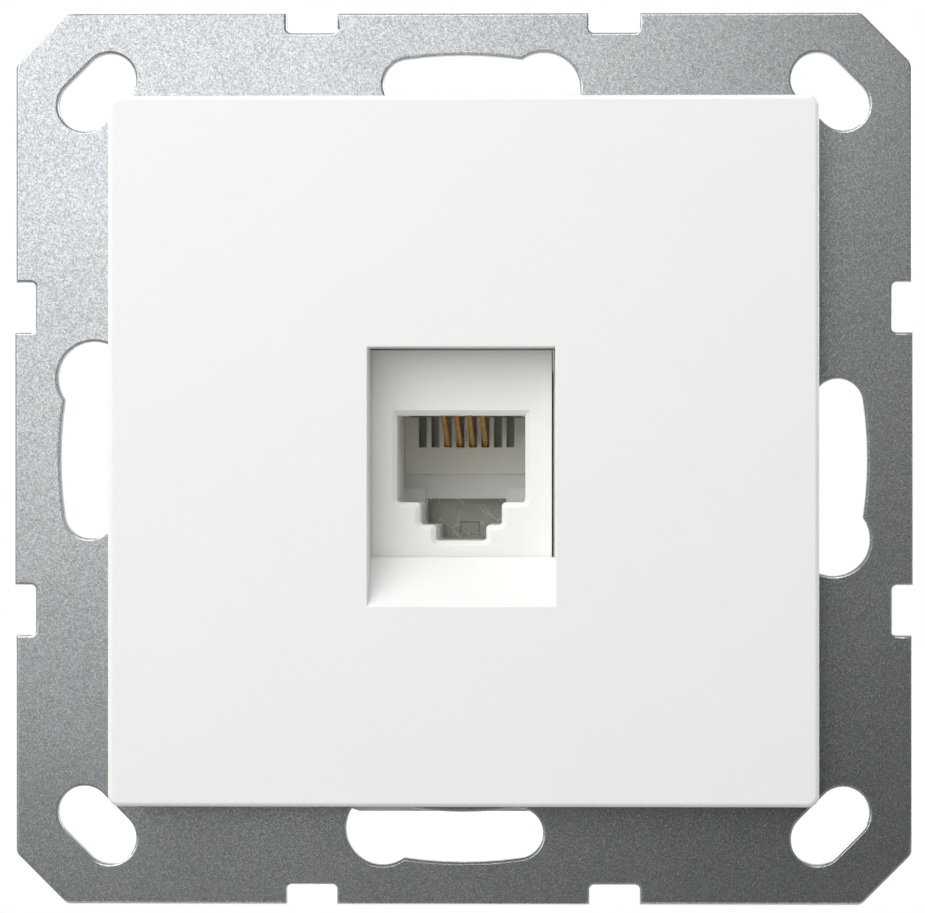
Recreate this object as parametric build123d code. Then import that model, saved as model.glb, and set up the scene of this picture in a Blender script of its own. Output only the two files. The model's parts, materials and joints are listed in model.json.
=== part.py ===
from build123d import *
from math import cos, hypot, radians, sin
import os

# Flush wall socket insert with a six-position modular jack.
# X runs to the right, Y into the wall and Z up, all in millimetres.
# The origin is the middle of the support frame's back face, which lies on the wall at Y = 0.

# Support frame
frame_sheet = 1.0
frame_rim_side = 3.5
frame_rim_end = 3.3
frame_corner_cut = 4.0
frame_corner_round = 0.8
side_tab_rise = 0.1
notch_width = 4.0
notch_depth = 1.55
notch_from_middle = 12.0
notch_round = 0.4
opening_play = 3.0
opening_corner_play = 0.36
opening_corner_round = 1.0

# Box screws, on a circle of 60 mm, and the slots at the corners
screw_circle_radius = 30.0
screw_slot_width = 4.0
screw_slot_turn = 8.3
screw_head_radius = 2.9
screw_head_turn = 12.3
corner_slot_width = 4.16
corner_slot_travel = 2.87
corner_slot_rim = 4.05

# Cover plate, which sits a little off the middle in the play of its hooks
plate_side = 55.0
plate_front = 9.5
plate_skin = 2.0
plate_skirt = 1.5
plate_corner_round = 0.9
plate_edge_round = 0.4
plate_to_frame = 0.6
plate_shift = 0.3
plate_rise = 0.55

# Window and ramp in the plate
window_depth = 4.0
window_play = 0.3
window_offset = -0.12
window_height = 16.25
window_rise = -0.1
ramp_height = 3.75
collar_wall = 1.3
collar_gap = 0.1

# Snap hooks of the plate
hook_width = 5.0
hook_thickness = 1.2
hook_play = 0.6
hook_barb = 1.2
hook_barb_length = 1.6
hook_from_middle = 6.5
hook_side_play = 0.9
hook_to_flange = 0.3
hook_seat = 0.1

# Carrier
carrier_diameter = 58.4
carrier_flange = 2.0
carrier_depth = 9.0
carrier_wall = 1.6
turret_side = 36.0
turret_front = 5.2
turret_wall = 1.5
turret_face = 1.6
turret_round = 8.0
port_fit = 0.15
port_wall = 1.4
port_depth = 4.2
catch_bar = 2.0
rib_thickness = 1.2

# Rivets between frame and carrier
rivet_to_turret = 0.76
rivet_hole = 2.6
rivet_shank = 2.5
rivet_bore = 1.5
rivet_head = 4.8
rivet_head_thickness = 0.7
rivet_crown = 0.4
rivet_boss = 6.0
rivet_boss_length = 2.2
rivet_rim = 3.8
rivet_rim_thickness = 0.5

# Jack housing
jack_width = 14.2
jack_height = 16.1
jack_rise = 0.3
jack_collar = 4.3
jack_length = 14.7
jack_body_top = 6.9
opening_width = 10.05
opening_top = 3.37
opening_floor = -3.44
step_width = 6.38
step_drop = 1.76
latch_width = 3.95
latch_drop = 1.23
opening_bevel = 0.4
opening_round = 0.3
cavity_depth = 12.2
lower_wall_set_back = 0.2
lower_wall_bottom = -3.2
shoulder_height = 1.1
shoulder_depth = 1.3
shoulder_gap = 6.6
wire_chamber_width = 9.2
wire_chamber_top = 4.5
wire_chamber_start = 4.0

# Latch arm and lug of the jack
arm_width = 7.0
arm_thickness = 1.15
arm_root = 2.3
arm_barb_rise = 1.75
arm_barb_at = 7.4
arm_tab_at = 13.1
arm_tab_rise = 1.95
arm_tab_length = 1.0
arm_rear_rise = 0.2
lug_height = 1.45
lug_length = 1.7
lug_seat = 0.1

# Comb with eight slots
comb_pitch = 1.016
comb_slots = 8
comb_slot_width = 0.62
comb_slot_floor = 0.98
comb_slot_fall = 0.6
comb_top = 3.4
comb_bottom = -1.25
comb_front_depth = 2.0

# Contact wires
wire_count = 4
wire_diameter = 0.4
wire_from_face = 2.2
wire_bend_z = 3.75
wire_bend_round = 0.6
wire_past_comb = 1.0
wire_to_floor = 0.05
wire_above_board = 0.3
wire_slot_length = 5.4

# Circuit board
board_thickness = 1.0
board_z = 5.15
board_side_play = 0.05
board_groove = 0.7
board_groove_play = 0.1
board_length = 26.0
board_lip = 0.3
wire_hole = 0.8
pin_hole = 1.2

# Terminal block, with two rows of two places
block_base = 1.5
block_height = 8.25
block_row_width = 4.8
block_gap = 0.2
block_length = 12.0
terminal_pitch = 5.4
wire_way = 1.3
wire_way_depth = 4.9
wire_way_mouth = 2.3
pocket_floor = 0.85
pocket_width = 3.2
pocket_thickness = 0.8

# Forked blades
blade_width = 3.0
blade_thickness = 0.5
blade_height = 6.4
blade_slit = 0.35
blade_slit_depth = 3.8
blade_mouth = 1.3
blade_mouth_depth = 0.9
pin_width = 0.9
pin_length = 2.6

# Rear cover under the board
cover_wall = 1.2
cover_foot = 4.2
cover_tail_height = 3.2
cover_edge_round = 0.5
gate_mark_width = 1.55
gate_mark_height = 1.0
gate_mark_rise = 0.15
gate_mark_x = 0.2
gate_mark_z = -5.6

# Caps over the terminal rows
cap_top = 1.0
cap_skirt = 0.7
cap_skirt_length = 4.2
cap_play = 0.1
cap_rib_depth = 3.0
cap_rib_width = 1.0
cap_rib_clear = 0.5
cap_edge_round = 0.4

# The sheet reaches past the screw slots, and the carrier stays inside them
screw_slot_outside = screw_circle_radius + screw_slot_width / 2
frame_width = 2 * (screw_slot_outside + frame_rim_side)
frame_height = 2 * (screw_slot_outside + frame_rim_end)
carrier_flats = 2 * (screw_circle_radius - screw_slot_width / 2)

# The sheet's opening and the rivets stand clear of the turret and its round corners
turret_corner = hypot(1, 1) * (turret_side / 2 - turret_round) + turret_round
frame_opening = turret_side + 2 * opening_play
frame_opening_diagonal = 2 * (turret_corner + opening_corner_play)
rivet_from_middle = turret_corner + rivet_to_turret + rivet_head / 2

# Places along Y, from the faces above
plate_face_y = -plate_front
plate_rim_y = -frame_sheet - plate_to_frame
plate_inside_y = plate_face_y + plate_skin
jack_face_y = plate_face_y + window_depth
collar_end_y = jack_face_y - collar_gap
jack_rear_y = jack_face_y + jack_length
comb_y = jack_face_y + cavity_depth
turret_face_y = -turret_front
catch_bar_y = port_depth - catch_bar

# Places along Z
jack_bottom = jack_rise - jack_height / 2
jack_top = jack_rise + jack_height / 2
board_top = board_z + board_thickness
block_top = board_top + block_height

# The wires stand in the middle slots of the comb
wire_first = -(wire_count - 1) / 2 * comb_pitch
wire_places = [wire_first + comb_pitch * i for i in range(wire_count)]
wire_root_y = jack_face_y + wire_from_face

# The terminals stand in two rows behind the housing
row_x = jack_width / 2 - block_row_width / 2
block_start_y = jack_rear_y + block_gap
terminal_ys = [block_start_y + block_length / 2 + terminal_pitch / 2 * s for s in (-1, 1)]
terminal_places = [(side * row_x, y) for side in (-1, 1) for y in terminal_ys]


def block(x0, x1, y0, y1, z0, z1):
    """A box between two corners."""
    middle = Pos((x0 + x1) / 2, (y0 + y1) / 2, (z0 + z1) / 2)
    return middle * Box(x1 - x0, y1 - y0, z1 - z0)


def along_y(sketch, y0, y1):
    """Extrudes an outline drawn as seen from the front, from y0 back to y1."""
    return extrude(Plane.XZ.offset(-y1) * sketch, amount=y1 - y0)


def along_x(points, x0, x1):
    """Extrudes a side profile of (y, z) points from x0 to x1."""
    return extrude(Plane.YZ.offset(x0) * make_face(Polyline(*points, close=True)), amount=x1 - x0)


def along_z(points, z0, z1):
    """Extrudes a plan of (x, y) points from z0 to z1."""
    return extrude(Plane.XY.offset(z0) * make_face(Polyline(*points, close=True)), amount=z1 - z0)


def rod(x, z, diameter, y0, y1):
    """A round bar along Y."""
    return along_y(Pos(x, z) * Circle(diameter / 2), y0, y1)


def rivet_places():
    """The four rivets stand on the diagonals."""
    reach = rivet_from_middle * cos(radians(45))
    return [(sx * reach, sz * reach) for sx in (-1, 1) for sz in (-1, 1)]


def frame_outline():
    """Outline of the sheet: cut corners, a pair of notches on each side."""
    outline = Rectangle(frame_width, frame_height)
    outline = chamfer(outline.vertices(), frame_corner_cut)
    outline = fillet(outline.vertices(), frame_corner_round)
    outline += Rectangle(frame_width + 2 * side_tab_rise, 2 * notch_from_middle)
    notches = []
    for along in (-notch_from_middle, notch_from_middle):
        for end in (-1, 1):
            side = end * frame_width / 2
            top = end * frame_height / 2
            notches.append(Pos(side, along) * Rectangle(2 * notch_depth, notch_width))
            notches.append(Pos(along, top) * Rectangle(notch_width, 2 * notch_depth))
    outline -= notches
    inner = [v for v in outline.vertices() if is_notch_floor(v)]
    return fillet(inner, notch_round)


def is_notch_floor(vertex):
    """True at the two inner corners of a notch."""
    deep_x = abs(abs(vertex.X) - (frame_width / 2 - notch_depth)) < notch_depth / 4
    deep_z = abs(abs(vertex.Y) - (frame_height / 2 - notch_depth)) < notch_depth / 4
    near_x = abs(abs(vertex.X) - notch_from_middle) < notch_width
    near_z = abs(abs(vertex.Y) - notch_from_middle) < notch_width
    return (deep_x and near_z) or (deep_z and near_x)


def keyhole(turn):
    """A slot along the screw circle that widens at one end for the screw's head."""
    sweep = screw_head_turn + screw_slot_turn
    arc = CenterArc((0, 0), screw_circle_radius, turn - screw_head_turn, sweep)
    head_at = radians(turn - screw_head_turn)
    head = Pos(screw_circle_radius * cos(head_at), screw_circle_radius * sin(head_at))
    return SlotArc(arc, screw_slot_width) + head * Circle(screw_head_radius)


def corner_slot(turn):
    """A short slot across the diagonal, one rim inside the cut corner."""
    cut_corner = (frame_width / 2 + frame_height / 2 - frame_corner_cut) / hypot(1, 1)
    from_middle = cut_corner - corner_slot_rim - corner_slot_width / 2
    reach = Rot(0, 0, turn) * Pos(from_middle, 0)
    return reach * Rot(0, 0, 90) * SlotCenterToCenter(corner_slot_travel, corner_slot_width)


def frame_hole():
    """The central opening: a square with its corners cut to a set diagonal."""
    half = frame_opening / 2
    cut = 2 * half - frame_opening_diagonal / 2 * hypot(1, 1)
    outline = chamfer(Rectangle(frame_opening, frame_opening).vertices(), cut)
    return fillet(outline.vertices(), opening_corner_round)


def support_frame():
    sketch = frame_outline() - frame_hole()
    for quarter in range(4):
        sketch -= keyhole(90 * quarter)
        sketch -= corner_slot(45 + 90 * quarter)
    for x, z in rivet_places():
        sketch -= Pos(x, z) * Circle(rivet_hole / 2)
    return along_y(sketch, -frame_sheet, 0)


def frame_rivets():
    """Four tubular rivets: a head in front of the sheet and a rolled rim behind the boss."""
    rivets = []
    boss_end = carrier_flange + rivet_boss_length
    for x, z in rivet_places():
        rivet = rod(x, z, rivet_shank, -frame_sheet, boss_end)
        head = rod(x, z, rivet_head, -frame_sheet - rivet_head_thickness, -frame_sheet)
        crown = head.edges().filter_by(GeomType.CIRCLE).sort_by(Axis.Y)[0]
        rivet += chamfer(crown, rivet_crown)
        rivet += rod(x, z, rivet_rim, boss_end, boss_end + rivet_rim_thickness)
        rivet -= rod(x, z, rivet_bore, -plate_front, boss_end + rivet_rim_thickness)
        rivets.append(rivet)
    return Compound(rivets)


def window_profile():
    """Side profile of the window with the ramp below it, in the plate's own place."""
    top = window_rise + window_height / 2
    floor = window_rise - window_height / 2
    foot = floor - ramp_height
    before = plate_face_y - plate_skin
    return [
        (before, top),
        (collar_end_y + collar_gap, top),
        (collar_end_y + collar_gap, floor),
        (collar_end_y, floor),
        (plate_face_y, foot),
        (before, foot),
    ]


def collar_profile():
    """The wall round the window, which follows the ramp on its underside."""
    top = window_rise + window_height / 2 + collar_wall
    floor = window_rise - window_height / 2 - collar_wall
    start = plate_inside_y - plate_skin / 2
    foot = floor - ramp_height * (collar_end_y - start) / (collar_end_y - plate_face_y)
    return [(start, top), (collar_end_y, top), (collar_end_y, floor), (start, foot)]


def plate_hook(side, z):
    """A snap hook that passes beside the turret and catches in its window."""
    inner = turret_side / 2 + hook_play
    end = -hook_to_flange
    catch = turret_window_y() + hook_seat
    points = [
        (side * inner, plate_inside_y - plate_skin / 2),
        (side * (inner + hook_thickness), plate_inside_y - plate_skin / 2),
        (side * (inner + hook_thickness), end),
        (side * (inner + hook_thickness / 3), end),
        (side * (inner - hook_barb), catch + hook_barb_length / 2),
        (side * (inner - hook_barb), catch),
        (side * inner, catch),
    ]
    return along_z(points, z - hook_width / 2, z + hook_width / 2)


def turret_window_y():
    """Front edge of the windows that the hooks catch in."""
    return -hook_to_flange - hook_barb_length - hook_to_flange - hook_seat


def cover_plate():
    shell = along_y(RectangleRounded(plate_side, plate_side, plate_corner_round), plate_face_y, plate_rim_y)
    rim = shell.faces().sort_by(Axis.Y)[0].outer_wire().edges()
    shell = fillet(rim, plate_edge_round)
    inside = plate_side - 2 * plate_skirt
    shell -= along_y(Rectangle(inside, inside), plate_inside_y, plate_rim_y)
    half = (jack_width + window_play) / 2
    left = window_offset - half
    right = window_offset + half
    shell += along_x(collar_profile(), left - collar_wall, right + collar_wall)
    shell -= along_x(window_profile(), left, right)
    for side in (-1, 1):
        for z in (-hook_from_middle, hook_from_middle):
            shell += plate_hook(side, z)
    return Pos(plate_shift, 0, plate_rise) * shell


def carrier_outline(inset):
    """A disc with four flats, which clear the box screws."""
    flats = carrier_flats - 2 * inset
    return Circle(carrier_diameter / 2 - inset) & Rectangle(flats, flats)


def port_height():
    """Lowest and highest Z of the port behind its front rim, with room for lug and arm."""
    low = jack_bottom - lug_height - port_fit
    high = jack_top + arm_barb_rise + 2 * port_fit
    return low, high


def carrier():
    low, high = port_height()
    half = jack_width / 2 + port_fit
    turret_inside = turret_side - 2 * turret_wall
    body = along_y(carrier_outline(0), 0, carrier_flange)
    body += along_y(carrier_outline(0) - carrier_outline(carrier_wall), carrier_flange, carrier_depth)
    body += along_y(RectangleRounded(turret_side, turret_side, turret_round), turret_face_y, 0)
    behind_face = turret_face_y + turret_face
    hollow = RectangleRounded(turret_inside, turret_inside, turret_round - turret_wall)
    body -= along_y(hollow, behind_face, carrier_flange)
    outside = half + port_wall
    body += block(-outside, outside, behind_face, port_depth, low - port_wall, high + port_wall)
    body += carrier_ribs(half, low, high, behind_face)
    body -= block(-half, half, turret_face_y, behind_face, jack_bottom - port_fit, jack_top + port_fit)
    body -= block(-half, half, behind_face, port_depth, low, high)
    body += block(-half, half, catch_bar_y, port_depth, low, jack_bottom - port_fit)
    body += block(-half, half, catch_bar_y, port_depth, arm_bar_z(), high)
    for x, z in rivet_places():
        body += rod(x, z, rivet_boss, carrier_flange, carrier_flange + rivet_boss_length)
        body -= rod(x, z, rivet_hole, 0, carrier_flange + rivet_boss_length)
    return body - turret_windows()


def arm_bar_z():
    """Lower edge of the bar that the latch arm catches on."""
    return jack_top + arm_barb_rise - arm_thickness + 2 * port_fit


def carrier_ribs(half, low, high, behind_face):
    """Ribs from the port's walls to the turret's walls."""
    reach = turret_side / 2 - turret_wall / 2
    t = rib_thickness / 2
    mid = (low + high) / 2
    ribs = block(-reach, -half - port_wall / 2, behind_face, carrier_flange, mid - t, mid + t)
    ribs += block(half + port_wall / 2, reach, behind_face, carrier_flange, mid - t, mid + t)
    ribs += block(-t, t, behind_face, carrier_flange, high + port_wall / 2, reach)
    ribs += block(-t, t, behind_face, carrier_flange, -reach, low - port_wall / 2)
    return ribs


def turret_windows():
    """Windows in the turret's side walls for the barbs of the plate's hooks."""
    half_height = hook_width / 2 + hook_side_play
    front = turret_window_y()
    back = -hook_to_flange
    reach = turret_side / 2
    windows = []
    for side in (-1, 1):
        x0, x1 = sorted((side * (reach - 2 * turret_wall), side * (reach + turret_wall)))
        for z in (-hook_from_middle, hook_from_middle):
            windows.append(block(x0, x1, front, back, z - half_height, z + half_height))
    return windows


def plug_outline():
    """The plug opening: a wide upper part over two steps for the plug's latch."""
    half_main = opening_width / 2
    half_step = step_width / 2
    half_latch = latch_width / 2
    step_floor = opening_floor - step_drop
    latch_floor = step_floor - latch_drop
    right = [
        (half_main, opening_top),
        (half_main, opening_floor),
        (half_step, opening_floor),
        (half_step, step_floor),
        (half_latch, step_floor),
        (half_latch, latch_floor),
    ]
    left = [(-x, z) for x, z in reversed(right)]
    outline = make_face(Polyline(*right, *left, close=True))
    corners = [v for v in outline.vertices() if v.Y < (opening_floor + opening_top) / 2]
    return fillet(corners, opening_round)


def plug_cavity():
    """The way for the plug, with its shoulders at the back and the channel for its latch."""
    way = along_y(plug_outline(), jack_face_y, comb_y + lower_wall_set_back)
    step_floor = opening_floor - step_drop
    latch_floor = step_floor - latch_drop
    through = along_y(
        Pos(0, (lower_wall_bottom + step_floor) / 2) * Rectangle(step_width, lower_wall_bottom - step_floor)
        + Pos(0, (step_floor + latch_floor) / 2) * Rectangle(latch_width, step_floor - latch_floor),
        comb_y,
        jack_rear_y,
    )
    shoulders = []
    for side in (-1, 1):
        x0, x1 = sorted((side * shoulder_gap / 2, side * opening_width / 2))
        back = comb_y + lower_wall_set_back
        top = opening_floor + shoulder_height
        shoulders.append(block(x0, x1, back - shoulder_depth, back, opening_floor, top))
    return way + through - shoulders


def opening_bevels():
    """A lead-in round the mouth of the opening."""
    mouth = plug_outline()
    outer = offset(mouth, opening_bevel, kind=Kind.INTERSECTION)
    face = Plane.XZ.offset(-jack_face_y) * outer
    throat = Plane.XZ.offset(-jack_face_y - opening_bevel) * mouth
    return loft([face.face(), throat.face()])


def latch_arm():
    """The springy arm on top, with the barb that holds the jack in its port."""
    f = jack_face_y
    barb_top = jack_top + arm_barb_rise
    neck = barb_top - arm_thickness
    tab_end = f + arm_tab_at + arm_tab_length
    points = [
        (f + arm_root, jack_top - arm_thickness),
        (f + arm_root, jack_top),
        (f + arm_barb_at, barb_top),
        (f + arm_barb_at, neck),
        (f + arm_tab_at, neck + arm_rear_rise),
        (f + arm_tab_at, jack_top + arm_tab_rise),
        (tab_end, jack_top + arm_tab_rise),
        (tab_end, neck - arm_thickness + arm_rear_rise),
        (f + arm_barb_at, neck - arm_thickness),
        (f + jack_collar, jack_top - arm_thickness),
    ]
    return along_x(points, -arm_width / 2, arm_width / 2)


def jack_housing():
    half = jack_width / 2
    body = block(-half, half, jack_face_y, jack_rear_y, jack_bottom, jack_body_top)
    body += block(-half, half, jack_face_y, jack_face_y + jack_collar, jack_body_top, jack_top)
    body += latch_arm()
    lug_end = catch_bar_y - lug_seat
    body += block(-half, half, lug_end - lug_length, lug_end, jack_bottom - lug_height, jack_bottom)
    body -= plug_cavity()
    body -= opening_bevels()
    body -= board_pocket()
    body -= wire_ways()
    body -= comb_pocket()
    return body


def board_pocket():
    """Groove for the board, open to the rear, with room above it for the soldered ends."""
    start = jack_face_y + board_start()
    half = jack_width / 2 - board_groove
    lip = half - board_lip
    top = board_top + board_groove_play
    pocket = block(-half, half, start, jack_rear_y, board_z, top)
    pocket += block(-lip, lip, start, jack_rear_y, board_z, jack_body_top)
    return pocket


def board_start():
    """How far behind the jack's face the board starts: one wire hole clear of its edge."""
    return wire_from_face - wire_hole


def wire_ways():
    """A slot in the roof for each wire, and the chamber in which the wires spring up."""
    ways = []
    for x in wire_places:
        half = comb_slot_width / 2
        y0 = jack_face_y + board_start()
        ways.append(block(x - half, x + half, y0, y0 + wire_slot_length, opening_top, board_z))
    half = wire_chamber_width / 2
    start = jack_face_y + wire_chamber_start
    ways.append(block(-half, half, start, comb_y, opening_top, wire_chamber_top))
    return ways


def comb_pocket():
    """Where the comb sits, behind the plug cavity and under the board."""
    half = opening_width / 2
    return block(-half, half, comb_y, jack_rear_y, comb_bottom, board_z)


def contact_comb():
    half = opening_width / 2
    shelf = comb_y + comb_front_depth
    comb = block(-half, half, comb_y, shelf, comb_bottom, comb_top)
    comb += block(-half, half, shelf, jack_rear_y, comb_bottom, board_z)
    slot = [
        (comb_y, comb_top),
        (comb_y, comb_slot_floor),
        (shelf, comb_slot_floor - comb_slot_fall),
        (shelf, comb_top),
    ]
    first = -(comb_slots - 1) / 2 * comb_pitch
    for i in range(comb_slots):
        x = first + comb_pitch * i
        comb -= along_x(slot, x - comb_slot_width / 2, x + comb_slot_width / 2)
    return comb


def contact_wire(x):
    """A round wire: soldered leg, tight bend, and an arm that falls back into its comb slot."""
    rest_z = comb_slot_floor + wire_to_floor + wire_diameter / 2
    tip_y = comb_y + wire_past_comb
    fall = (wire_bend_z - rest_z) / (comb_y - wire_root_y)
    tip_z = wire_bend_z - fall * (tip_y - wire_root_y)
    points = [
        (x, wire_root_y, board_top + wire_above_board),
        (x, wire_root_y, wire_bend_z),
        (x, tip_y, tip_z),
    ]
    path = FilletPolyline(*points, radius=wire_bend_round)
    start = Plane(origin=points[0], z_dir=(0, 0, -1))
    return sweep(start * Circle(wire_diameter / 2), path=path)


def circuit_board():
    half = jack_width / 2 - board_groove - board_side_play
    start = jack_face_y + board_start() + board_side_play
    board = block(-half, half, start, start + board_length, board_z, board_top)
    middle = board_z + board_thickness / 2
    for x in wire_places:
        board -= Pos(x, wire_root_y, middle) * Cylinder(wire_hole / 2, board_thickness)
    for x, y in terminal_places:
        board -= Pos(x, y, middle) * Cylinder(pin_hole / 2, board_thickness)
    return board


def terminal_block():
    """Base and two rows of posts, cut by a wire way and a blade pocket at each place."""
    half = jack_width / 2
    y0, y1 = block_start_y, block_start_y + block_length
    body = block(-half, half, y0, y1, board_top, board_top + block_base)
    for side in (-1, 1):
        x0, x1 = sorted((side * half, side * (half - block_row_width)))
        body += block(x0, x1, y0, y1, board_top, block_top)
    for x, y in terminal_places:
        body -= wire_way_cut(x, y)
        body -= Pos(x, y) * blade_pocket()
    return body


def wire_way_cut(x, y):
    """The way that a wire is pushed down into, wider at its mouth."""
    half = wire_way / 2
    mouth = wire_way_mouth / 2
    floor = block_top - wire_way_depth
    points = [
        (y - half, floor),
        (y + half, floor),
        (y + half, block_top - (mouth - half) * 2),
        (y + mouth, block_top),
        (y - mouth, block_top),
        (y - half, block_top - (mouth - half) * 2),
    ]
    reach = block_row_width / 2
    return along_x(points, x - reach, x + reach)


def blade_pocket():
    """The pocket that a blade stands in, and the hole for its pin."""
    floor = board_top + pocket_floor
    x = pocket_thickness / 2
    y = pocket_width / 2
    pin_x = blade_thickness / 2 + cap_play
    pin_y = pin_width / 2 + cap_play
    return block(-x, x, -y, y, floor, block_top) + block(-pin_x, pin_x, -pin_y, pin_y, board_top, floor)


def terminal_blade(x, y):
    """A forked blade with a solder pin."""
    base = board_top + pocket_floor
    top = base + blade_height
    half = blade_width / 2
    slit = blade_slit / 2
    mouth = blade_mouth / 2
    pin = pin_width / 2
    points = [
        (y - pin, base - pin_length),
        (y + pin, base - pin_length),
        (y + pin, base),
        (y + half, base),
        (y + half, top - blade_mouth_depth),
        (y + mouth, top),
        (y + slit, top - blade_mouth_depth),
        (y + slit, top - blade_slit_depth),
        (y - slit, top - blade_slit_depth),
        (y - slit, top - blade_mouth_depth),
        (y - mouth, top),
        (y - half, top - blade_mouth_depth),
        (y - half, base),
        (y - pin, base),
    ]
    return along_x(points, x - blade_thickness / 2, x + blade_thickness / 2)


def cover_profile(inset):
    """Side profile of the rear cover, deep behind the jack and shallow at its tail."""
    y0 = jack_rear_y + inset
    y1 = jack_face_y + board_start() + board_side_play + board_length - inset
    top = board_z
    bottom = jack_bottom + inset
    tail = board_z - cover_tail_height + inset
    foot = jack_rear_y + cover_foot - inset / 2
    return [(y0, bottom), (foot, bottom), (y1, tail), (y1, top), (y0, top)]


def rear_cover():
    half = jack_width / 2
    shell = along_x(cover_profile(0), -half, half)
    under = [e for e in shell.edges() if e.center().Z < board_z and e.center().Y > jack_rear_y]
    shell = fillet(under, cover_edge_round)
    shell -= along_x(cover_profile(cover_wall), -half + cover_wall, half - cover_wall)
    return shell - gate_mark()


def gate_mark():
    """A square hollow left by the moulding, which shows through the latch channel."""
    w, h = gate_mark_width / 2, gate_mark_height / 2
    y0 = jack_rear_y
    return block(gate_mark_x - w, gate_mark_x + w, y0, y0 + gate_mark_rise, gate_mark_z - h, gate_mark_z + h)


def terminal_cap(side):
    """A cap that presses over one row, with ribs that push the wires home."""
    inner = jack_width / 2 - block_row_width
    outer = jack_width / 2 + cap_play
    y0, y1 = block_start_y, block_start_y + block_length
    cap = block(inner, outer + cap_skirt, y0, y1, block_top, block_top + cap_top)
    cap += block(outer, outer + cap_skirt, y0, y1, block_top - cap_skirt_length, block_top)
    crown = cap.edges().filter_by(Axis.Y).sort_by(Axis.Z)[-2:]
    cap = fillet(crown.sort_by(Axis.X)[-1], cap_edge_round)
    near = row_x - pocket_thickness / 2 - cap_rib_clear
    far = row_x + pocket_thickness / 2 + cap_rib_clear
    for y in terminal_ys:
        r = cap_rib_width / 2
        low = block_top - cap_rib_depth
        cap += block(inner, near, y - r, y + r, low, block_top)
        cap += block(far, outer + cap_skirt, y - r, y + r, low, block_top)
    return cap if side > 0 else mirror(cap, about=Plane.YZ)


def save(name, shape):
    export_step(shape, f"parts/{name}.step")


os.makedirs("parts", exist_ok=True)
save("cover_plate", cover_plate())
save("support_frame", support_frame())
save("frame_rivets", frame_rivets())
save("carrier", carrier())
save("jack_housing", jack_housing())
save("contact_comb", contact_comb())
for number, place in enumerate(wire_places, 1):
    save(f"contact_wire_{number}", contact_wire(place))
save("circuit_board", circuit_board())
save("terminal_block", terminal_block())
for number, (x, y) in enumerate(terminal_places, 1):
    save(f"terminal_blade_{number}", terminal_blade(x, y))
save("rear_cover", rear_cover())
save("terminal_cap_left", terminal_cap(-1))
save("terminal_cap_right", terminal_cap(1))
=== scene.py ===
import json
from math import pi, radians, tan

import bmesh
import bpy
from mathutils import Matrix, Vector


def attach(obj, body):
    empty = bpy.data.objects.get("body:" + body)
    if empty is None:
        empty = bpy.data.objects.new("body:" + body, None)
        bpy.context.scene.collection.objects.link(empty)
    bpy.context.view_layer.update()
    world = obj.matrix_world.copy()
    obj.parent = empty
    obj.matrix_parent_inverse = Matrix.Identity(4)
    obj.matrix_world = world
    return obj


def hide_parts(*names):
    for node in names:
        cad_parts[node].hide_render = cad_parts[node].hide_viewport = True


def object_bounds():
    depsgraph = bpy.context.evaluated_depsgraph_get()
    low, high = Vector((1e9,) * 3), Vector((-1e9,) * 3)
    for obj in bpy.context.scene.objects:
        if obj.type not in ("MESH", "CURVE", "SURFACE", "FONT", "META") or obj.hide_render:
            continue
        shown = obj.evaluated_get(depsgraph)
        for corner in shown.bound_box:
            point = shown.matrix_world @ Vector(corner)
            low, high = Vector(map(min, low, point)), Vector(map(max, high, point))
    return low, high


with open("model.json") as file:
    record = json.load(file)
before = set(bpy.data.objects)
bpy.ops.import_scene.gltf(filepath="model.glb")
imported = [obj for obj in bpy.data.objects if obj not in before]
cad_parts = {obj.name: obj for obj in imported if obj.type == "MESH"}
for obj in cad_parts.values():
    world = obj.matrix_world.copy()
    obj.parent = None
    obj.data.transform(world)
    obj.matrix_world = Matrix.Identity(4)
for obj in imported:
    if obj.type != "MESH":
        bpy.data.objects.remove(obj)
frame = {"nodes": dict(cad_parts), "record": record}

cadLow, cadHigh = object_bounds()
nodes = frame["nodes"]
bodyOfNode = {n: b for b, names in frame["record"]["behaviour"]["bodies"].items() for n in names}
slotOfNode = {s["node"]: s["material_slot"] for s in frame["record"]["subparts"]}
print("frame loaded:", len(nodes), "nodes")

mm = 0.001
plainWhite = (1.0, 1.0, 1.0)


# Helpers for objects and node trees

def linkObject(name, data):
    thing = bpy.data.objects.new(name, data)
    bpy.context.scene.collection.objects.link(thing)
    return thing


def addNode(tree, kind, place=(0, 0), **settings):
    node = tree.nodes.new(kind)
    node.location = place
    for name, value in settings.items():
        setattr(node, name, value)
    return node


def feed(tree, socket, value):
    # a number, colour or vector is set on the socket, anything else is linked to it
    if isinstance(value, (int, float)):
        socket.default_value = value
    elif isinstance(value, tuple):
        socket.default_value = (*value, 1) if socket.type == "RGBA" and len(value) == 3 else value
    else:
        tree.links.new(value, socket)


def feedAll(tree, node, values):
    for name, value in values.items():
        feed(tree, node.inputs[name], value)


def mathNode(tree, operation, a, b=0.0, place=(0, 0), clamp=False):
    node = addNode(tree, "ShaderNodeMath", place, operation=operation, use_clamp=clamp)
    feed(tree, node.inputs[0], a)
    feed(tree, node.inputs[1], b)
    return node.outputs[0]


def colourMix(tree, factor, a, b, place):
    node = addNode(tree, "ShaderNodeMix", place, data_type="RGBA")
    for index, value in ((0, factor), (6, a), (7, b)):
        feed(tree, node.inputs[index], value)
    return node.outputs[2]


def mapRange(tree, value, low, high, toLow, toHigh, place):
    node = addNode(tree, "ShaderNodeMapRange", place)
    for index, entry in enumerate((value, low, high, toLow, toHigh)):
        feed(tree, node.inputs[index], entry)
    return node.outputs[0]


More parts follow.
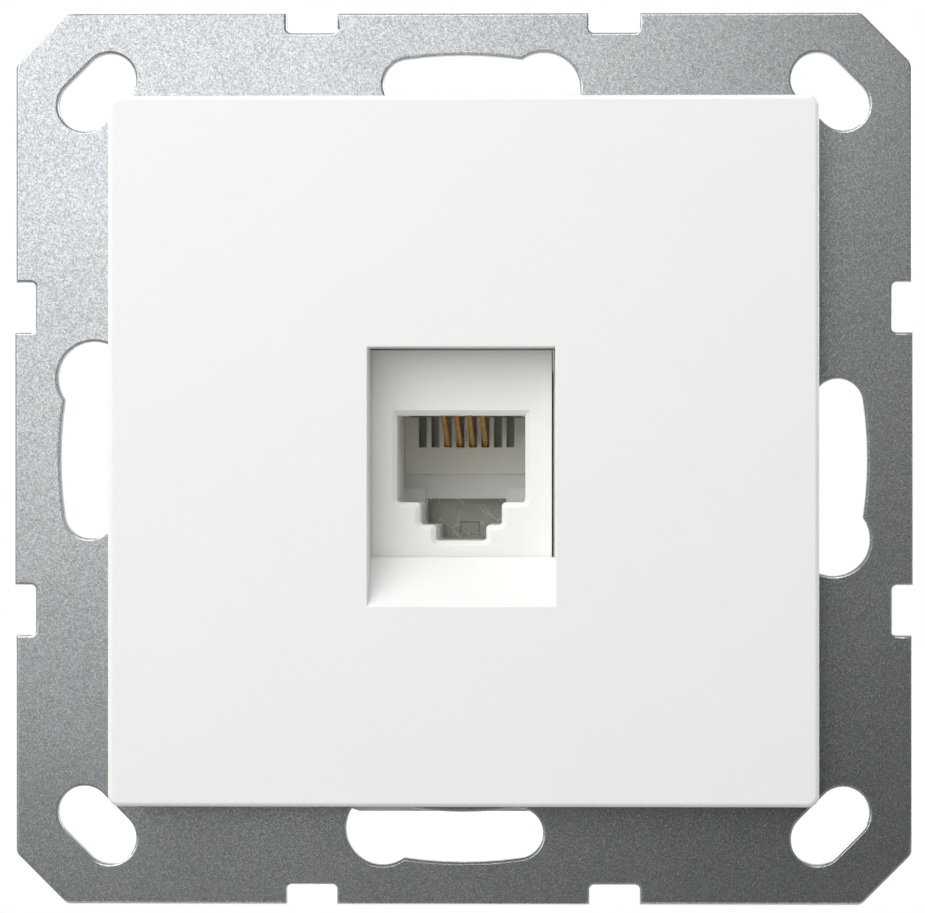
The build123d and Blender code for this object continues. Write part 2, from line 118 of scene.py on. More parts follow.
def noise(tree, vector, scale, detail, roughness, place):
    node = addNode(tree, "ShaderNodeTexNoise", place)
    feedAll(tree, node, {"Vector": vector, "Scale": scale, "Detail": detail, "Roughness": roughness})
    return node.outputs[0]


def newGroup(name, inputs, outputs):
    # inputs: name and default; all sockets are numbers
    group = bpy.data.node_groups.new(name, "ShaderNodeTree")
    for label, value in inputs.items():
        socket = group.interface.new_socket(name=label, in_out="INPUT", socket_type="NodeSocketFloat")
        socket.default_value = value
    for label in outputs:
        group.interface.new_socket(name=label, in_out="OUTPUT", socket_type="NodeSocketFloat")
    start = addNode(group, "NodeGroupInput", (-900, 0))
    end = addNode(group, "NodeGroupOutput", (900, 0))
    return group, start.outputs, end.inputs


def placeGroup(tree, group, values, place=(-300, 0)):
    node = addNode(tree, "ShaderNodeGroup", place, node_tree=group)
    feedAll(tree, node, values)
    return node


def emptyTree(owner):
    owner.use_nodes = True
    owner.node_tree.nodes.clear()
    return owner.node_tree


def newMaterial(name):
    material = bpy.data.materials.new(name)
    tree = emptyTree(material)
    output = addNode(tree, "ShaderNodeOutputMaterial", (900, 0))
    shader = addNode(tree, "ShaderNodeBsdfPrincipled", (600, 0))
    tree.links.new(shader.outputs["BSDF"], output.inputs["Surface"])
    return material, tree, shader


def endInMix(tree, outputKind, share, plain, white):
    # rays see the plain shader, and as much of the white one as the share says
    mix = addNode(tree, "ShaderNodeMixShader", (600, 0))
    for index, value in enumerate((share, plain.outputs[0], white.outputs[0])):
        feed(tree, mix.inputs[index], value)
    output = addNode(tree, outputKind, (900, 0))
    feed(tree, output.inputs["Surface"], mix.outputs[0])


# Shared effects

def makeGrainGroup():
    # fine grain over soft clouds: a tone for the colour, and a height for the bump
    group, given, result = newGroup(
        "grainOverClouds",
        {"Grain per metre": 5000.0, "Clouds per metre": 120.0, "Grain share": 0.8, "Contrast": 1.0},
        ("Tone", "Height"),
    )
    middle = 0.5  # the contrast spreads the tone to both sides of it
    place = addNode(group, "ShaderNodeTexCoord", (-900, 300)).outputs["Object"]
    grain = noise(group, place, given["Grain per metre"], 2.0, 0.6, (-600, 200))
    clouds = noise(group, place, given["Clouds per metre"], 3.0, 0.5, (-600, -100))
    mixed = addNode(group, "ShaderNodeMix", (-300, 100))
    feedAll(group, mixed, {"Factor": given["Grain share"], "A": clouds, "B": grain})
    centred = mathNode(group, "SUBTRACT", mixed.outputs[0], middle, (-100, 100))
    scaled = mathNode(group, "MULTIPLY", centred, given["Contrast"], (100, 100))
    tone = mathNode(group, "ADD", scaled, middle, (300, 100), clamp=True)
    feed(group, result["Tone"], tone)
    feed(group, result["Height"], grain)
    return group


def makeScratchGroup():
    # thin bent scratches that lie every way, and only in patches
    group, given, result = newGroup(
        "fineScratches",
        {
            "Spread per metre": 700.0,
            "Width": 0.04,
            "Share": 0.5,
            "Bends per metre": 260.0,
            "Bend in metres": 0.003,
            "Patches per metre": 900.0,
        },
        ("Mask",),
    )
    place = addNode(group, "ShaderNodeTexCoord", (-900, 300)).outputs["Object"]
    warp = addNode(group, "ShaderNodeTexNoise", (-700, 100))
    feedAll(group, warp, {"Vector": place, "Scale": given["Bends per metre"], "Detail": 1.0})
    bent = addNode(group, "ShaderNodeVectorMath", (-500, 200), operation="MULTIPLY_ADD")
    for index, value in enumerate((warp.outputs["Color"], given["Bend in metres"], place)):
        feed(group, bent.inputs[index], value)
    cells = addNode(group, "ShaderNodeTexVoronoi", (-300, 200), feature="DISTANCE_TO_EDGE")
    feedAll(group, cells, {"Vector": bent.outputs[0], "Scale": given["Spread per metre"]})
    line = mathNode(group, "LESS_THAN", cells.outputs["Distance"], given["Width"], (-100, 200))
    patch = noise(group, place, given["Patches per metre"], 1.0, 0.5, (-300, -100))
    worn = mathNode(group, "LESS_THAN", patch, given["Share"], (-100, -100))
    feed(group, result["Mask"], mathNode(group, "MULTIPLY", line, worn, (200, 100)))
    return group


grainGroup = makeGrainGroup()
scratchGroup = makeScratchGroup()


def placeGrain(tree, look):
    return placeGroup(tree, grainGroup, {
        "Grain per metre": look["grain"],
        "Clouds per metre": look["clouds"],
        "Grain share": look["grainShare"],
        "Contrast": look["contrast"],
    })


def toneColour(tree, grain, look, place=(100, 200)):
    return colourMix(tree, grain.outputs["Tone"], look["dark"], look["pale"], place)


def toneRoughness(tree, grain, roughness):
    # one number all over, or one at the darkest tone and one at the palest
    if not isinstance(roughness, tuple):
        return roughness
    return mapRange(tree, grain.outputs["Tone"], 0.0, 1.0, *roughness, (100, 0))


def relief(tree, height, look, place=(100, -250)):
    bump = addNode(tree, "ShaderNodeBump", place)
    feedAll(tree, bump, {"Height": height, "Strength": look["bump"], "Distance": look["bumpDepth"]})
    return bump.outputs["Normal"]


# Moulded plastics

moulding = {
    # what all of them share
    "clouds": 120.0,  # per metre
    "grainShare": 0.35,
    "contrast": 1.6,
    "roughnessSpread": 0.05,
    "bumpDepth": 0.02 * mm,
    "ior": 1.5,
    "scatter": 0.8 * mm,  # how far light strays inside
    "scatterColours": (1.0, 0.95, 0.85),
}

mouldedPlastics = {
    # wander: how far the tone strays from the colour; grain: per metre; depth: how much light goes in
    "plate_plastic": {
        "colour": (0.868, 0.872, 0.856), "wander": 0.010, "roughness": 0.34,
        "grain": 9000.0, "bump": 0.03, "depth": 0.0,
    },
    "jack_plastic": {
        "colour": (0.850, 0.854, 0.826), "wander": 0.020, "roughness": 0.48,
        "grain": 7000.0, "bump": 0.08, "depth": 0.15,
    },
    "carrier_plastic": {
        "colour": (0.80, 0.80, 0.775), "wander": 0.030, "roughness": 0.52,
        "grain": 4500.0, "bump": 0.12, "depth": 0.0,
    },
    "comb_plastic": {
        "colour": (0.88, 0.88, 0.80), "wander": 0.030, "roughness": 0.50,
        "grain": 6000.0, "bump": 0.10, "depth": 0.15,
    },
    "terminal_plastic": {
        "colour": (0.79, 0.79, 0.765), "wander": 0.030, "roughness": 0.50,
        "grain": 4500.0, "bump": 0.12, "depth": 0.0,
    },
    "cap_plastic": {
        "colour": (0.83, 0.83, 0.81), "wander": 0.025, "roughness": 0.45,
        "grain": 4500.0, "bump": 0.10, "depth": 0.0,
    },
}


def mouldedPlastic(name, ownLook):
    look = {**moulding, **ownLook}
    look["dark"] = tuple(c * (1 - look["wander"]) for c in look["colour"])
    look["pale"] = tuple(min(1.0, c * (1 + look["wander"])) for c in look["colour"])
    spread = look["roughnessSpread"]
    material, tree, shader = newMaterial(name)
    grain = placeGrain(tree, look)
    feedAll(tree, shader, {
        "Base Color": toneColour(tree, grain, look),
        "Roughness": toneRoughness(tree, grain, (look["roughness"] - spread, look["roughness"] + spread)),
        "Normal": relief(tree, grain.outputs["Height"], look),
        "IOR": look["ior"],
        "Subsurface Weight": look["depth"],
        "Subsurface Scale": look["scatter"],
        "Subsurface Radius": look["scatterColours"],
    })
    return material


# Metals, the board and torn plastic

zincLook = {
    "dark": (0.217, 0.229, 0.236),
    "pale": (0.54, 0.562, 0.576),
    "grain": 8500.0,
    "clouds": 120.0,
    "grainShare": 0.90,
    "contrast": 2.4,
    "roughness": (0.30, 0.26),
    "metallic": 0.92,  # the zinc is a little matt
    "bump": 0.08,
    "bumpDepth": 0.03 * mm,
}

goldLook = {
    "dark": (0.42, 0.13, 0.003),
    "pale": (1.0, 0.53, 0.03),
    "grain": 4200.0,
    "clouds": 900.0,
    "grainShare": 0.7,
    "contrast": 3.0,
    "roughness": 0.36,
    "metallic": 0.72,
    "bump": 0.25,
    "bumpDepth": 0.02 * mm,
}

boardLook = {
    "dark": (0.030, 0.150, 0.060),
    "pale": (0.045, 0.200, 0.085),
    "grain": 3000.0,
    "clouds": 500.0,
    "grainShare": 0.5,
    "contrast": 1.5,
    "roughness": (0.32, 0.44),
    "metallic": 0.0,
}

tinLook = {
    "dark": (0.50, 0.49, 0.47),
    "pale": (0.76, 0.75, 0.72),
    "grain": 4000.0,
    "clouds": 700.0,
    "grainShare": 0.5,
    "contrast": 1.6,
    "roughness": (0.28, 0.42),
    "metallic": 1.0,
}

speckGlintLook = {
    # pale colour, a painted highlight that stands in for glints on the specks of plastic
    "dark": (0.744, 0.744, 0.72),
    "pale": (0.93, 0.93, 0.90),
    "grain": 9000.0,
    "clouds": 3000.0,
    "grainShare": 0.6,
    "contrast": 2.0,
    "roughness": (0.25, 0.45),
    "metallic": 0.0,
}


def grainedFinish(name, look):
    material, tree, shader = newMaterial(name)
    grain = placeGrain(tree, look)
    feedAll(tree, shader, {
        "Base Color": toneColour(tree, grain, look),
        "Roughness": toneRoughness(tree, grain, look["roughness"]),
        "Metallic": look["metallic"],
    })
    if "bump" in look:
        feed(tree, shader.inputs["Normal"], relief(tree, grain.outputs["Height"], look))
    return material


# The rear cover, glossy, and scratched where it shows in the latch channel

glossyCoverLook = {
    "dark": (0.42, 0.42, 0.365),
    "pale": (0.49, 0.49, 0.43),
    "grain": 2500.0,
    "clouds": 400.0,
    "grainShare": 0.3,
    "contrast": 1.8,
    "roughness": 0.16,
    "scratch": (0.72, 0.72, 0.67),
    "scratchStrength": 0.8,
    "scratchRoughness": 0.5,
    "scratches": {"Spread per metre": 520.0, "Width": 0.04, "Share": 0.56},
    "bump": 0.3,
    "bumpDepth": 0.02 * mm,
    "wornTo": 9.25 * mm,  # only the face in the latch channel is scratched, not what lies behind it
}


def glossyCover(name, look):
    material, tree, shader = newMaterial(name)
    grain = placeGrain(tree, look)
    scratch = placeGroup(tree, scratchGroup, look["scratches"], (-300, -300))
    place = addNode(tree, "ShaderNodeSeparateXYZ", (-500, -500))
    feed(tree, place.inputs[0], addNode(tree, "ShaderNodeTexCoord", (-700, -500)).outputs["Object"])
    front = mathNode(tree, "LESS_THAN", place.outputs["Y"], look["wornTo"], (-300, -500))
    worn = mathNode(tree, "MULTIPLY", scratch.outputs["Mask"], front, (-100, -400))
    plain = toneColour(tree, grain, look, (0, 200))
    share = mathNode(tree, "MULTIPLY", worn, look["scratchStrength"], (100, -400))
    feedAll(tree, shader, {
        "Base Color": colourMix(tree, share, plain, look["scratch"], (250, 200)),
        "Roughness": mapRange(tree, worn, 0.0, 1.0, look["roughness"], look["scratchRoughness"], (250, 0)),
        "Normal": relief(tree, worn, look, (250, -250)),
    })
    return material


materialOfSlot = {slot: mouldedPlastic(slot, look) for slot, look in mouldedPlastics.items()}
materialOfSlot["zinc_steel"] = grainedFinish("zinc_steel", zincLook)
materialOfSlot["rivet_steel"] = grainedFinish("rivet_steel", zincLook)
materialOfSlot["gold_wire"] = grainedFinish("gold_wire", goldLook)
materialOfSlot["cover_plastic"] = glossyCover("cover_plastic", glossyCoverLook)
materialOfSlot["board_laminate"] = grainedFinish("board_laminate", boardLook)
materialOfSlot["tinned_blade"] = grainedFinish("tinned_blade", tinLook)
print("materials made:", len(materialOfSlot))


# Camera and light, at the photograph's viewing angle

cameraView = {
    "imageSize": (925, 913),
    "focalPixels": 4199.0,
    "place": (12.43 * mm, -333.5 * mm, -1.45 * mm),
    "footPixel": (620, 477),  # straight ahead of the camera along Y
    "turn": 1.1,  # degrees to the left, which keeps the shift small
    "sensor": 36.0,  # mm wide
    "clip": (0.01, 20.0),  # nearest and farthest, in m
}


def makeCamera(settings):
    width, height = settings["imageSize"]
    focal = settings["focalPixels"]
    footX, footY = settings["footPixel"]
    turn = radians(settings["turn"])
    data = bpy.data.cameras.new("camera")
    data.sensor_width = settings["sensor"]
    data.lens = focal * settings["sensor"] / width
    data.shift_x = (width / 2 - footX + focal * tan(turn)) / width
    data.shift_y = (footY - height / 2) / width
    data.clip_start, data.clip_end = settings["clip"]
    camera = linkObject("camera", data)
    camera.location = settings["place"]
    camera.rotation_euler = (pi / 2, 0, turn)
    bpy.context.scene.camera = camera


studioLamps = {
    # place and size in m, roll in degrees
    "key": {
        "place": (-0.236, -0.410, 0.290), "size": (0.74, 0.72), "roll": -1.0,
        "watts": 4.1, "colour": (1.0, 0.997, 0.99),
    },
    "rearLeft": {
        "place": (-0.35, 0.45, 0.30), "size": (0.35, 0.35), "roll": 0.0,
        "watts": 2.6, "colour": plainWhite,
    },
    "rearRight": {
        "place": (0.45, 0.30, 0.20), "size": (0.35, 0.35), "roll": 0.0,
        "watts": 1.6, "colour": plainWhite,
    },
}

lampAim = (0.0, 0.0, 0.0)

studioRoom = {
    "sideGrey": 0.44,
    "frontGrey": 0.01,  # the room behind the camera is dark, so the metal shows only the key
    "frontFrom": -0.82,  # the direction's Y where the dark begins, and where it is full
    "frontTo": -0.94,
}


def makeLamp(name, settings):
    data = bpy.data.lights.new(name, "AREA")
    data.shape = "RECTANGLE"
    data.size, data.size_y = settings["size"]
    data.energy = settings["watts"]
    data.color = settings["colour"]
    lamp = linkObject(name, data)
    lamp.location = settings["place"]
    lamp.rotation_euler = (Vector(lampAim) - lamp.location).to_track_quat("-Z", "Y").to_euler()
    lamp.rotation_euler.rotate_axis("Z", radians(settings["roll"]))


def makeWorld(settings):
    world = bpy.data.worlds.new("studio")
    bpy.context.scene.world = world
    tree = emptyTree(world)
    direction = addNode(tree, "ShaderNodeSeparateXYZ", (-600, 0))
    feed(tree, direction.inputs[0], addNode(tree, "ShaderNodeTexCoord", (-800, 0)).outputs["Generated"])
    dim = mapRange(
        tree, direction.outputs["Y"], settings["frontFrom"], settings["frontTo"],
        settings["sideGrey"], settings["frontGrey"], (-300, 0),
    )
    light = addNode(tree, "ShaderNodeBackground", (300, 100))
    feedAll(tree, light, {"Color": plainWhite, "Strength": dim})
    white = addNode(tree, "ShaderNodeBackground", (300, -100))
    feedAll(tree, white, {"Color": plainWhite, "Strength": 1.0})
    # white for the camera everywhere, and for metal and glass only behind the object
    rays = addNode(tree, "ShaderNodeLightPath", (-600, 400)).outputs
    shown = mathNode(tree, "MAXIMUM", rays["Is Glossy Ray"], rays["Is Transmission Ray"], (-300, 400))
    behind = mathNode(tree, "GREATER_THAN", direction.outputs["Y"], 0.0, (-300, 200))
    shown = mathNode(tree, "MULTIPLY", shown, behind, (-100, 300))
    shown = mathNode(tree, "MAXIMUM", shown, rays["Is Camera Ray"], (100, 400))
    endInMix(tree, "ShaderNodeOutputWorld", shown, light, white)


makeCamera(cameraView)
for lampName, lampSettings in studioLamps.items():
    makeLamp(lampName, lampSettings)
makeWorld(studioRoom)
bpy.context.scene.view_settings.view_transform = "Standard"
print("camera and light placed")


# Pieces from the frame, with their edges rounded as the real ones are

edgeRounding = {
    # node: rounding in mm, segments
    "cover_plate": (0.10, 3),
    "support_frame": (0.20, 3),
    "carrier": (0.10, 2),
    "jack_housing": (0.12, 3),
    "contact_comb": (0.07, 2),
    "circuit_board": (0.03, 1),
    "terminal_block": (0.10, 2),
    "rear_cover": (0.12, 2),
    "terminal_cap_left": (0.10, 2),
    "terminal_cap_right": (0.10, 2),
}

meshCare = {
    "mergeWithin": 0.0005 * mm,
    "flatWithin": radians(0.5),  # faces that meet at less than this become one
    "edgeFrom": radians(35),  # only edges that turn by more than this are sharp and get rounded
    "flatWeight": 100,
}

stamping = {
    # the punch rolls the sheet's front edges, and leaves the others almost sharp
    "node": "support_frame",
    "frontY": -1.0 * mm,
    "frontWithin": 0.01 * mm,
    "backShare": 0.2,
}

jackTop = {
    # the housing's top runs up close under the window's edge
    "node": "jack_housing",
    "from": 8.25 * mm,
    "to": 8.45 * mm,
    "lift": 0.12 * mm,
}


def markRolledEdges(work, look):
    weight = work.edges.layers.float.new("bevel_weight_edge")
    for edge in work.edges:
        if len(edge.link_faces) == 2 and edge.calc_face_angle(0) > meshCare["edgeFrom"]:
            inFront = all(abs(v.co.y - look["frontY"]) < look["frontWithin"] for v in edge.verts)
            edge[weight] = 1.0 if inFront else look["backShare"]


def liftTop(work, look):
    for v in work.verts:
        if look["from"] < v.co.z < look["to"]:
            v.co.z += look["lift"]


def dressNode(name, rounding, segments):
    # a merged copy of the node, with its edges rounded, that stands for the node
    stamped = name == stamping["node"]
    mesh = nodes[name].data.copy()
    mesh.name = name + "_finish"
    work = bmesh.new()
    work.from_mesh(mesh)
    bmesh.ops.remove_doubles(work, verts=work.verts, dist=meshCare["mergeWithin"])
    bmesh.ops.dissolve_limit(work, angle_limit=meshCare["flatWithin"], verts=work.verts, edges=work.edges)
    if stamped:
        markRolledEdges(work, stamping)
    if name == jackTop["node"]:
        liftTop(work, jackTop)
    work.to_mesh(mesh)
    work.free()
    mesh.shade_smooth()
    mesh.set_sharp_from_angle(angle=meshCare["edgeFrom"])
    piece = linkObject(name + "_finish", mesh)
    mesh.materials.clear()
    mesh.materials.append(materialOfSlot[slotOfNode[name]])
    bevel = piece.modifiers.new("edge rounding", "BEVEL")
    bevel.width = rounding * mm
    bevel.segments = segments
    bevel.limit_method = "WEIGHT" if stamped else "ANGLE"
    bevel.angle_limit = meshCare["edgeFrom"]
    bevel.use_clamp_overlap = not stamped
    flats = piece.modifiers.new("flat faces stay flat", "WEIGHTED_NORMAL")
    flats.mode = "FACE_AREA"
    flats.weight = meshCare["flatWeight"]
    flats.keep_sharp = True
    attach(piece, bodyOfNode[name])
    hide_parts(name)


for nodeName, (rounding, segments) in edgeRounding.items():
    dressNode(nodeName, rounding, segments)
print("pieces dressed:", len(edgeRounding))


# Helpers for pieces that Geometry Nodes repeat

numberSocket = "NodeSocketFloat"
countSocket = "NodeSocketInt"
materialSocket = "NodeSocketMaterial"


def newPieceTree(name, inputs):
    # inputs: name -> socket type; the tree's own geometry comes first
    tree = bpy.data.node_groups.new(name, "GeometryNodeTree")
    tree.interface.new_socket(name="Geometry", in_out="INPUT", socket_type="NodeSocketGeometry")
    for label, kind in inputs.items():
        tree.interface.new_socket(name=label, in_out="INPUT", socket_type=kind)
    tree.interface.new_socket(name="Geometry", in_out="OUTPUT", socket_type="NodeSocketGeometry")
    start = addNode(tree, "NodeGroupInput", (-1200, 0))
    end = addNode(tree, "NodeGroupOutput", (1200, 0))
    return tree, start.outputs, end


def closePieceTree(tree, end, instances, material):
    # every tree ends in real geometry with its material on it
    real = addNode(tree, "GeometryNodeRealizeInstances", (600, 0))
    smooth = addNode(tree, "GeometryNodeSetShadeSmooth", (750, 0))
    coloured = addNode(tree, "GeometryNodeSetMaterial", (950, 0))
    feed(tree, real.inputs["Geometry"], instances)
    feed(tree, smooth.inputs["Geometry"], real.outputs["Geometry"])
    feed(tree, coloured.inputs["Geometry"], smooth.outputs["Geometry"])
    feed(tree, coloured.inputs["Material"], material)
    feed(tree, end.inputs["Geometry"], coloured.outputs["Geometry"])


def growPiece(name, tree, values, points, edges, sharpFrom):
    # the tree works on the given points and edges, and its result becomes a plain mesh
    seed = bpy.data.meshes.new(name + "_seed")
    seed.from_pydata(points, edges, [])
    maker = linkObject(name + "_maker", seed)
    modifier = maker.modifiers.new("grow", "NODES")
    modifier.node_group = tree
    for item in tree.interface.items_tree:
        if item.in_out == "INPUT" and item.name in values:
            modifier[item.identifier] = values[item.name]
    graph = bpy.context.evaluated_depsgraph_get()
    mesh = bpy.data.meshes.new_from_object(maker.evaluated_get(graph))
    bpy.data.objects.remove(maker)
    mesh.name = name
    mesh.set_sharp_from_angle(angle=radians(sharpFrom))
    return linkObject(name, mesh)


# Tubular rivets, turned from one half section and set round the sheet

rivetTurning = {
    "middleRadius": 1.3,  # the section's own zero, in mm from the rivet's middle
    "fromMiddle": 25.302,  # mm from the sheet's middle to each rivet's
    "firstAt": pi / 4,
    "count": 4,
    "steps": 40,
    "sharpFrom": 50,  # degrees
    # half section in mm: distance from the rivet's middle, and place along Y
    "section": [
        (0.75, 4.52), (0.75, -1.45), (0.85, -1.62), (1.05, -1.70), (1.70, -1.70), (2.02, -1.62), (2.25, -1.45),
        (2.37, -1.22), (2.40, -1.00), (1.25, -1.00), (1.25, 4.20), (1.90, 4.20), (1.90, 4.34), (1.84, 4.50),
        (1.68, 4.62), (1.40, 4.70), (1.05, 4.68), (0.85, 4.62),
    ],
}


def makeRivets(look):
    tree, given, end = newPieceTree("rivetRing", {
        "Middle radius": numberSocket,
        "Steps": countSocket,
        "Rivets": countSocket,
        "Distance from middle": numberSocket,
        "Finish": materialSocket,
    })
    section = addNode(tree, "GeometryNodeMeshToCurve", (-900, 200))
    feed(tree, section.inputs["Mesh"], given["Geometry"])
    path = addNode(tree, "GeometryNodeCurvePrimitiveCircle", (-900, 0))
    feedAll(tree, path, {"Resolution": given["Steps"], "Radius": given["Middle radius"]})
    turned = addNode(tree, "GeometryNodeCurveToMesh", (-600, 100))
    feedAll(tree, turned, {"Curve": path.outputs["Curve"], "Profile Curve": section.outputs["Curve"]})
    places = addNode(tree, "GeometryNodeMeshCircle", (-600, -200))
    feedAll(tree, places, {"Vertices": given["Rivets"], "Radius": given["Distance from middle"]})
    diagonal = addNode(tree, "GeometryNodeTransform", (-300, -200))
    feedAll(tree, diagonal, {"Geometry": places.outputs["Mesh"], "Rotation": (0, 0, look["firstAt"])})
    spread = addNode(tree, "GeometryNodeInstanceOnPoints", (0, 0))
    feedAll(tree, spread, {"Points": diagonal.outputs["Geometry"], "Instance": turned.outputs["Mesh"]})
    upright = addNode(tree, "GeometryNodeTransform", (300, 0))
    feedAll(tree, upright, {"Geometry": spread.outputs["Instances"], "Rotation": (pi / 2, 0, 0)})
    closePieceTree(tree, end, upright.outputs["Geometry"], given["Finish"])
    values = {
        "Middle radius": look["middleRadius"] * mm,
        "Steps": look["steps"],
        "Rivets": look["count"],
        "Distance from middle": look["fromMiddle"] * mm,
        "Finish": materialOfSlot[slotOfNode["frame_rivets"]],
    }
    points = [((r - look["middleRadius"]) * mm, y * mm, 0) for r, y in look["section"]]
    edges = [(i, (i + 1) % len(points)) for i in range(len(points))]
    piece = growPiece("frame_rivets_finish", tree, values, points, edges, look["sharpFrom"])
    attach(piece, bodyOfNode["frame_rivets"])
    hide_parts("frame_rivets")


makeRivets(rivetTurning)


# Solder joints round the pins of the terminal blades, under the board

solderJoints = {
    # sizes and places in mm
    "footRadius": 0.80,
    "tipRadius": 0.30,
    "height": 0.62,
    "waist": 0.40,  # how far the cone is hollowed
    "steps": 18,
    "rings": 5,
    "sharpFrom": 60,  # degrees
    "boardUnder": 5.15,
    "pins": [(-4.7, 12.7), (-4.7, 18.1), (4.7, 12.7), (4.7, 18.1)],
}


def makeSolderJoints(look):
    tree, given, end = newPieceTree("solderJoints", {
        "Foot radius": numberSocket,
        "Tip radius": numberSocket,
        "Height": numberSocket,
        "Waist": numberSocket,
        "Steps": countSocket,
        "Finish": materialSocket,
    })
    cone = addNode(tree, "GeometryNodeMeshCone", (-900, 100))
    feedAll(tree, cone, {
        "Vertices": given["Steps"],
        "Side Segments": look["rings"],
        "Radius Top": given["Tip radius"],
        "Radius Bottom": given["Foot radius"],
        "Depth": given["Height"],
    })
    place = addNode(tree, "ShaderNodeSeparateXYZ", (-900, -200))
    feed(tree, place.inputs[0], addNode(tree, "GeometryNodeInputPosition", (-1100, -200)).outputs[0])
    share = mathNode(tree, "DIVIDE", place.outputs["Z"], given["Height"], (-700, -200))
    arch = mathNode(tree, "SINE", mathNode(tree, "MULTIPLY", share, pi, (-600, -200)), place=(-500, -200))
    hollow = mathNode(tree, "MULTIPLY", arch, given["Waist"], (-400, -200))
    kept = mathNode(tree, "SUBTRACT", 1.0, hollow, (-300, -200))
    hollowed = addNode(tree, "ShaderNodeCombineXYZ", (-100, -200))
    feedAll(tree, hollowed, {
        "X": mathNode(tree, "MULTIPLY", place.outputs["X"], kept, (-200, -200)),
        "Y": mathNode(tree, "MULTIPLY", place.outputs["Y"], kept, (-200, -400)),
        "Z": place.outputs["Z"],
    })
    shaped = addNode(tree, "GeometryNodeSetPosition", (0, 100))
    feedAll(tree, shaped, {"Geometry": cone.outputs["Mesh"], "Position": hollowed.outputs[0]})
    spread = addNode(tree, "GeometryNodeInstanceOnPoints", (300, 0))
    feedAll(tree, spread, {
        "Points": given["Geometry"],
        "Instance": shaped.outputs["Geometry"],
        "Rotation": (pi, 0, 0),  # tips down
    })
    closePieceTree(tree, end, spread.outputs["Instances"], given["Finish"])
    values = {
        "Foot radius": look["footRadius"] * mm,
        "Tip radius": look["tipRadius"] * mm,
        "Height": look["height"] * mm,
        "Waist": look["waist"],
        "Steps": look["steps"],
        "Finish": materialOfSlot["tinned_blade"],
    }
    points = [(x * mm, y * mm, look["boardUnder"] * mm) for x, y in look["pins"]]
    piece = growPiece("solder_joints", tree, values, points, [], look["sharpFrom"])
    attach(piece, bodyOfNode["circuit_board"])


makeSolderJoints(solderJoints)


# Specks of plastic that the photograph shows at the gate mark and on the channel's floor, real bumps whose
# pale colour is a painted highlight for glints

gateSpecks = {
    "faceY": 9.16,  # mm
    "lines": [
        # first and last point of a line of specks: x and z in mm
        ((-0.46, -6.07), (1.02, -6.05)),
        ((-1.90, -6.42), (-0.85, -6.50)),
    ],
    "count": 12,
    "radius": 0.11,  # mm, times a random share from the smallest to the largest
    "smallest": 0.45,
    "largest": 1.25,
    "flatness": 0.6,
    "roundness": 2,  # subdivisions
    "sharpFrom": 40,  # degrees
    "seed": 7,
}


def makeGateSpecks(look):
    tree, given, end = newPieceTree("gateSpecks", {
        "Specks on a line": countSocket,
        "Radius": numberSocket,
        "Smallest": numberSocket,
        "Largest": numberSocket,
        "Seed": countSocket,
        "Finish": materialSocket,
    })
    line = addNode(tree, "GeometryNodeMeshToCurve", (-900, 200))
    feed(tree, line.inputs["Mesh"], given["Geometry"])
    points = addNode(tree, "GeometryNodeResampleCurve", (-700, 200))
    feedAll(tree, points, {"Curve": line.outputs["Curve"], "Count": given["Specks on a line"]})
    speck = addNode(tree, "GeometryNodeMeshIcoSphere", (-700, -100))
    feedAll(tree, speck, {"Radius": given["Radius"], "Subdivisions": look["roundness"]})
    size = addNode(tree, "FunctionNodeRandomValue", (-700, -300), data_type="FLOAT")
    feed(tree, size.inputs[2], given["Smallest"])
    feed(tree, size.inputs[3], given["Largest"])
    feed(tree, size.inputs["Seed"], given["Seed"])
    turn = addNode(tree, "FunctionNodeRandomValue", (-700, -500), data_type="FLOAT_VECTOR")
    feed(tree, turn.inputs[1], (2 * pi, 2 * pi, 2 * pi))
    feed(tree, turn.inputs["Seed"], given["Seed"])
    flat = addNode(tree, "ShaderNodeCombineXYZ", (-450, -300))
    thin = mathNode(tree, "MULTIPLY", size.outputs[1], look["flatness"], (-550, -300))
    feedAll(tree, flat, {"X": size.outputs[1], "Y": thin, "Z": size.outputs[1]})
    spread = addNode(tree, "GeometryNodeInstanceOnPoints", (0, 0))
    feedAll(tree, spread, {
        "Points": points.outputs["Curve"],
        "Instance": speck.outputs["Mesh"],
        "Rotation": turn.outputs[0],
        "Scale": flat.outputs[0],
    })
    closePieceTree(tree, end, spread.outputs["Instances"], given["Finish"])
    values = {
        "Specks on a line": look["count"],
        "Radius": look["radius"] * mm,
        "Smallest": look["smallest"],
        "Largest": look["largest"],
        "Seed": look["seed"],
        # the specks' pale colour is a painted highlight, standing in for glints
        "Finish": grainedFinish("speck_painted_glint", speckGlintLook),
    }
    ends = [(x * mm, look["faceY"] * mm, z * mm) for line in look["lines"] for x, z in line]
    edges = [(i, i + 1) for i in range(0, len(ends), 2)]
    piece = growPiece("gate_specks", tree, values, ends, edges, look["sharpFrom"])
    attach(piece, bodyOfNode["rear_cover"])


makeGateSpecks(gateSpecks)
print("repeated pieces grown: rivets, solder joints, gate specks")


# The wires and the blades keep their CAD meshes

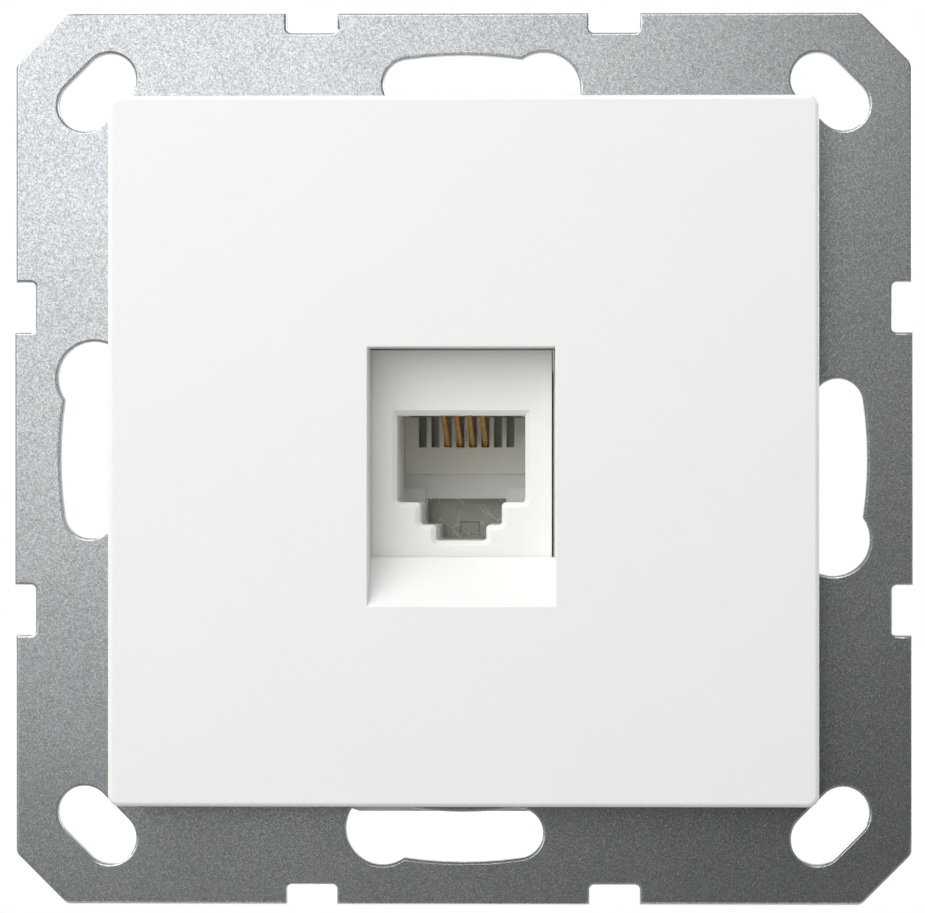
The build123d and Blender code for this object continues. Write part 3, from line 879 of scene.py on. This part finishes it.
keptNodes = [name for name in nodes if name not in edgeRounding and name != "frame_rivets"]
for nodeName in keptNodes:
    mesh = nodes[nodeName].data
    mesh.materials.clear()
    mesh.materials.append(materialOfSlot[slotOfNode[nodeName]])
print("CAD meshes given their materials:", len(keptNodes))


# Floor

floorLook = {
    "grey": 0.80,
    "white": 1.15,  # with the lit paint under it this makes plain white
    "share": 0.72,  # of the white close to the object, where the rest shows its shadow
    "fadeFrom": 0.12,  # m; farther out the floor turns into the white background
    "fadeTo": 0.45,
    "halfWidth": 0.5,
    "front": -0.0012,  # the object stands at the floor's front edge
    "back": 0.5,
    "gap": 0.05 * mm,  # under the object
}


def paleFloor(look):
    material = bpy.data.materials.new("pale_floor")
    tree = emptyTree(material)
    paint = addNode(tree, "ShaderNodeBsdfDiffuse", (300, 100))
    feed(tree, paint.inputs["Color"], (look["grey"],) * 3)
    white = addNode(tree, "ShaderNodeEmission", (300, -100))
    feedAll(tree, white, {"Color": plainWhite, "Strength": look["white"]})
    rays = addNode(tree, "ShaderNodeLightPath", (-600, 300)).outputs
    seen = mathNode(tree, "MAXIMUM", rays["Is Camera Ray"], rays["Is Glossy Ray"], (-400, 300))
    seen = mathNode(tree, "MAXIMUM", seen, rays["Is Transmission Ray"], (-200, 300))
    reach = addNode(tree, "ShaderNodeVectorMath", (-600, -200), operation="LENGTH")
    feed(tree, reach.inputs[0], addNode(tree, "ShaderNodeTexCoord", (-800, -200)).outputs["Object"])
    far = mapRange(
        tree, reach.outputs["Value"], look["fadeFrom"], look["fadeTo"],
        look["share"], 1.0, (-400, -200),
    )
    share = mathNode(tree, "MULTIPLY", seen, far, (0, 200))
    endInMix(tree, "ShaderNodeOutputMaterial", share, paint, white)
    return material


def makeFloor(look):
    half, front, back = look["halfWidth"], look["front"], look["back"]
    height = cadLow.z - look["gap"]
    mesh = bpy.data.meshes.new("floor")
    corners = [(-half, front, height), (half, front, height), (half, back, height), (-half, back, height)]
    mesh.from_pydata(corners, [], [(0, 1, 2, 3)])
    mesh.materials.append(paleFloor(look))
    floor = linkObject("floor", mesh)


makeFloor(floorLook)
print("floor laid")
